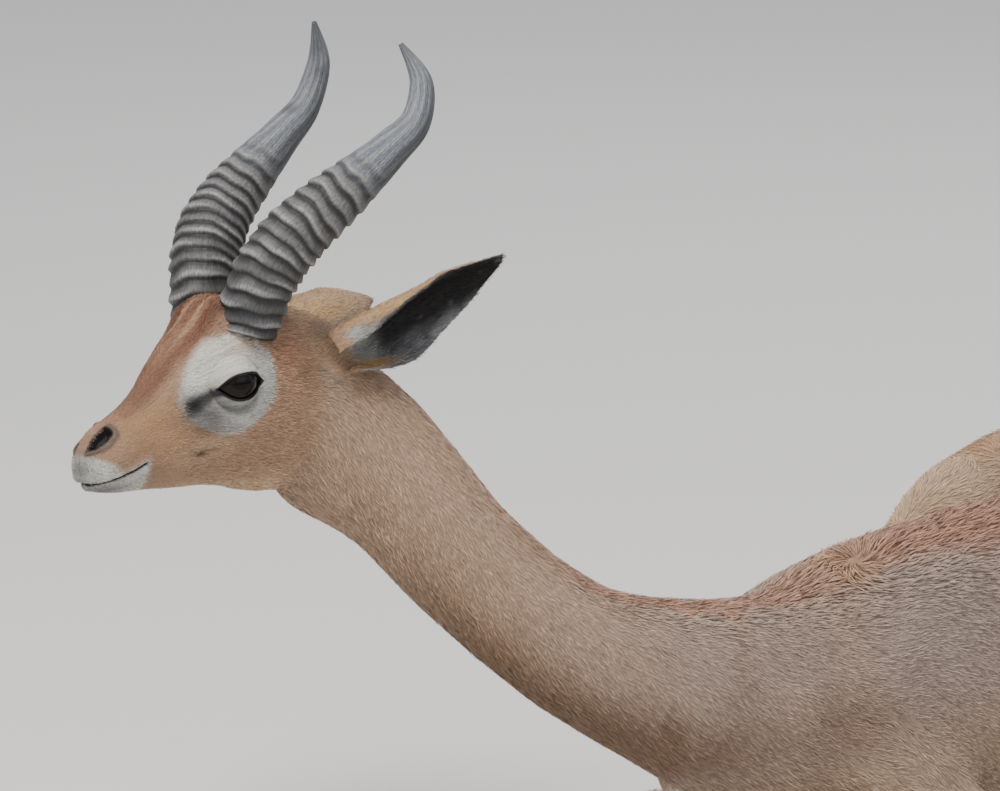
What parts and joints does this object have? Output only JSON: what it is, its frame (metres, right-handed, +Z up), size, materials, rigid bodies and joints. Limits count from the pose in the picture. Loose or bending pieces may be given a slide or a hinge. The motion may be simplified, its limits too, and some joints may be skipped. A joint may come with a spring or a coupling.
{
  "type": "gerenuk",
  "caption": "Life-size still model of an adult male gerenuk lying on its chest with its head raised and its legs folded under it.",
  "frame": {"origin": "on the floor, under the middle of the animal's box", "axes": "+Z up; the head points to -X, the trunk runs back to +X and +Y"},
  "size_m": [1.1042, 0.791, 0.6673],
  "materials": {
    "coat": "short smooth fur, fawn with a reddish back, white eye ring and belly",
    "dark_hair": "longer blackish hair of the tail tuft",
    "eye": "wet dark eye",
    "horn": "ringed grey horn, smooth at the tip",
    "hoof": "dark horny hoof"
  },
  "bodies": {
    "root": {"head": "coat", "ear_left": "coat", "ear_right": "coat", "neck_upper": "coat", "neck_lower": "coat", "chest": "coat", "belly": "coat", "rump": "coat", "tail": "coat", "tail_tuft": "dark_hair", "eye_left": "eye", "horn_left": "horn", "eye_right": "eye", "horn_right": "horn", "fore_right_upper": "coat", "fore_right_forearm": "coat", "fore_right_cannon": "coat", "fore_right_pastern": "coat", "fore_right_hoof_inner": "hoof", "fore_right_hoof_outer": "hoof", "fore_left_upper": "coat", "fore_left_forearm": "coat", "fore_left_cannon": "coat", "fore_left_pastern": "coat", "fore_left_hoof_inner": "hoof", "fore_left_hoof_outer": "hoof", "hind_right_upper": "coat", "hind_right_shank": "coat", "hind_right_cannon": "coat", "hind_right_pastern": "coat", "hind_right_hoof_inner": "hoof", "hind_right_hoof_outer": "hoof", "hind_left_upper": "coat", "hind_left_shank": "coat", "hind_left_cannon": "coat", "hind_left_pastern": "coat", "hind_left_hoof_inner": "hoof", "hind_left_hoof_outer": "hoof"}
  },
  "joints": []
}
